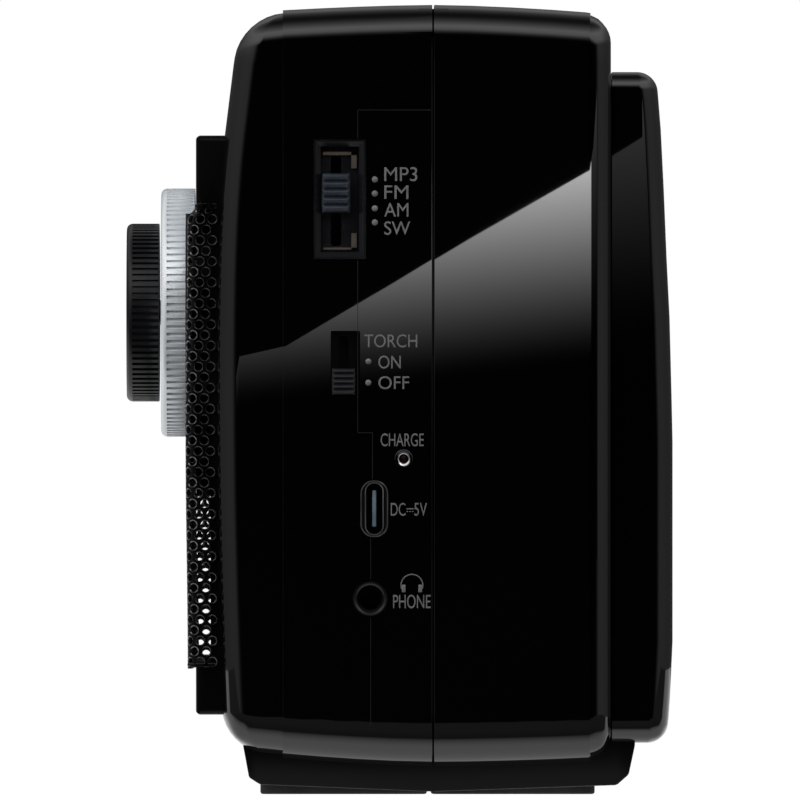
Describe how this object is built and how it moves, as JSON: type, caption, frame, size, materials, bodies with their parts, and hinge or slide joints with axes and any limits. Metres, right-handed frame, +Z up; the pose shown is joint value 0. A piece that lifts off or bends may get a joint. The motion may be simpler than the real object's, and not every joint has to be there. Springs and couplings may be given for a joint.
{
  "type": "shortwave receiver",
  "caption": "Portable multi-band radio: gloss black case, wrap-round perforated grille, coaxial tuning and volume knob, side switches and sockets, stowed telescopic antenna.",
  "frame": {"origin": "middle of the footprint, on the surface the feet stand on", "axes": "X is the width with the side switches at +X, Y the depth with the front at -Y, Z up"},
  "size_m": [0.1971, 0.093, 0.1342],
  "materials": {
    "cabinet_gloss": "high-gloss black moulding",
    "panel_satin": "fine satin black",
    "grille_paint": "satin black paint on perforated sheet",
    "clear_window": "clear moulded window",
    "scale_card": "printed scale card",
    "pointer_red": "red moulding",
    "zinc_steel": "zinc plated steel",
    "bright_chrome": "bright plating",
    "knob_black": "satin black, fine ribs",
    "knob_silver": "satin silver, fine ribs",
    "brass_turned": "turned",
    "moulded_black": "fine moulded texture",
    "slider_grey": "blue-grey moulding",
    "button_black": "gloss keys",
    "foot_rubber": "matt",
    "battery_sleeve": "shrink sleeve",
    "cone_paper": "pressed paper cone",
    "ferrite_grey": "sintered",
    "copper_wire": "enamelled copper winding",
    "board_green": "solder-masked laminate",
    "led_lens": "dark tinted lens"
  },
  "bodies": {
    "cabinet": {"front_shell": "cabinet_gloss", "rear_shell": "cabinet_gloss", "rear_cover": "cabinet_gloss", "battery_tray": "moulded_black", "battery_pack": "battery_sleeve", "cover_screw_1": "zinc_steel", "cover_screw_2": "zinc_steel", "cover_screw_3": "zinc_steel", "cover_screw_4": "zinc_steel", "foot_front_left": "foot_rubber", "foot_front_right": "foot_rubber", "foot_rear_left": "foot_rubber", "foot_rear_right": "foot_rubber", "front_panel": "panel_satin", "speaker_grille": "grille_paint", "dial_window": "clear_window", "dial_scale": "scale_card", "pointer_rail": "zinc_steel", "volume_control": "zinc_steel", "tuning_capacitor": "moulded_black", "speaker_frame": "zinc_steel", "speaker_cone": "cone_paper", "speaker_magnet": "ferrite_grey", "band_switch_bezel": "moulded_black", "band_switch": "zinc_steel", "torch_switch": "zinc_steel", "charge_led_ring": "bright_chrome", "charge_led": "led_lens", "usb_socket": "zinc_steel", "usb_tongue": "slider_grey", "headphone_jack": "moulded_black", "side_board": "board_green", "button_board": "board_green", "main_board": "board_green", "ferrite_rod": "ferrite_grey", "ferrite_coil": "copper_wire", "torch_reflector": "bright_chrome", "torch_lens": "clear_window", "torch_led": "board_green", "card_socket": "zinc_steel"},
    "volume_knob": {"volume_knob": "knob_black", "volume_shaft": "zinc_steel"},
    "tuning_ring": {"tuning_ring": "knob_silver", "tuning_spindle": "brass_turned"},
    "tuning_drum": {"tuning_drum": "moulded_black"},
    "dial_pointer": {"dial_pointer": "pointer_red"},
    "band_slider": {"band_slider": "slider_grey"},
    "torch_slider": {"torch_slider": "moulded_black"},
    "battery_door": {"battery_door": "cabinet_gloss"},
    "antenna_yoke": {"antenna_yoke": "bright_chrome", "antenna_pin": "zinc_steel"},
    "antenna_tube_1": {"antenna_tube_1": "bright_chrome"},
    "antenna_tube_2": {"antenna_tube_2": "bright_chrome"},
    "antenna_tube_3": {"antenna_tube_3": "bright_chrome"},
    "antenna_tip": {"antenna_tip": "bright_chrome"},
    "mode_button": {"mode_button": "button_black"},
    "back_button": {"back_button": "button_black"},
    "play_button": {"play_button": "button_black"},
    "next_button": {"next_button": "button_black"},
    "repeat_button": {"repeat_button": "button_black"}
  },
  "joints": [
    {"name": "volume_turn", "type": "hinge", "parent": "cabinet", "child": "volume_knob", "pos_m": [0.058, -0.04, 0.082], "axis": [0, 1, 0], "range_deg": [0, 300]},
    {"name": "tuning_turn", "type": "hinge", "parent": "cabinet", "child": "tuning_ring", "pos_m": [0.058, -0.04, 0.082], "axis": [0, 1, 0], "range_deg": [-540, 540]},
    {"name": "drum_turn", "type": "hinge", "parent": "cabinet", "child": "tuning_drum", "pos_m": [0.036, -0.024, 0.049], "axis": [0, 1, 0], "range_deg": [-90.1, 90.1]},
    {"name": "pointer_travel", "type": "slide", "parent": "cabinet", "child": "dial_pointer", "axis": [1, 0, 0], "range_m": [-0.0378, 0.0378]},
    {"name": "band_select", "type": "slide", "parent": "cabinet", "child": "band_slider", "axis": [0, 0, 1], "range_m": [-0.00486, 0.00243]},
    {"name": "torch_switch_slide", "type": "slide", "parent": "cabinet", "child": "torch_slider", "axis": [0, 0, 1], "range_m": [0, 0.0036]},
    {"name": "battery_door_swing", "type": "hinge", "parent": "cabinet", "child": "battery_door", "pos_m": [0, 0.0465, 0.022], "axis": [-1, 0, 0], "range_deg": [0, 80]},
    {"name": "antenna_swivel", "type": "hinge", "parent": "cabinet", "child": "antenna_yoke", "pos_m": [0.082, 0.032, 0.1292], "axis": [0, 1, 0], "range_deg": [0, 120]},
    {"name": "antenna_tilt", "type": "hinge", "parent": "antenna_yoke", "child": "antenna_tube_1", "pos_m": [0.082, 0.032, 0.1292], "axis": [0, 0, -1], "range_deg": [0, 90]},
    {"name": "antenna_slide_1", "type": "slide", "parent": "antenna_tube_1", "child": "antenna_tube_2", "axis": [-1, 0, 0], "range_m": [0, 0.145]},
    {"name": "antenna_slide_2", "type": "slide", "parent": "antenna_tube_2", "child": "antenna_tube_3", "axis": [-1, 0, 0], "range_m": [0, 0.143]},
    {"name": "antenna_slide_3", "type": "slide", "parent": "antenna_tube_3", "child": "antenna_tip", "axis": [-1, 0, 0], "range_m": [0, 0.141]},
    {"name": "mode_button_press", "type": "slide", "parent": "cabinet", "child": "mode_button", "axis": [0, 1, 0], "range_m": [0, 0.0008], "stiffness_N_per_m": 800, "springref_m": -0.001},
    {"name": "back_button_press", "type": "slide", "parent": "cabinet", "child": "back_button", "axis": [0, 1, 0], "range_m": [0, 0.0008], "stiffness_N_per_m": 800, "springref_m": -0.001},
    {"name": "play_button_press", "type": "slide", "parent": "cabinet", "child": "play_button", "axis": [0, 1, 0], "range_m": [0, 0.0008], "stiffness_N_per_m": 800, "springref_m": -0.001},
    {"name": "next_button_press", "type": "slide", "parent": "cabinet", "child": "next_button", "axis": [0, 1, 0], "range_m": [0, 0.0008], "stiffness_N_per_m": 800, "springref_m": -0.001},
    {"name": "repeat_button_press", "type": "slide", "parent": "cabinet", "child": "repeat_button", "axis": [0, 1, 0], "range_m": [0, 0.0008], "stiffness_N_per_m": 800, "springref_m": -0.001}
  ],
  "couplings": [
    {"joint": "drum_turn", "follows": "tuning_turn", "ratio": 0.16667},
    {"joint": "pointer_travel", "follows": "tuning_turn", "m_per_rad": 0.0040001}
  ]
}
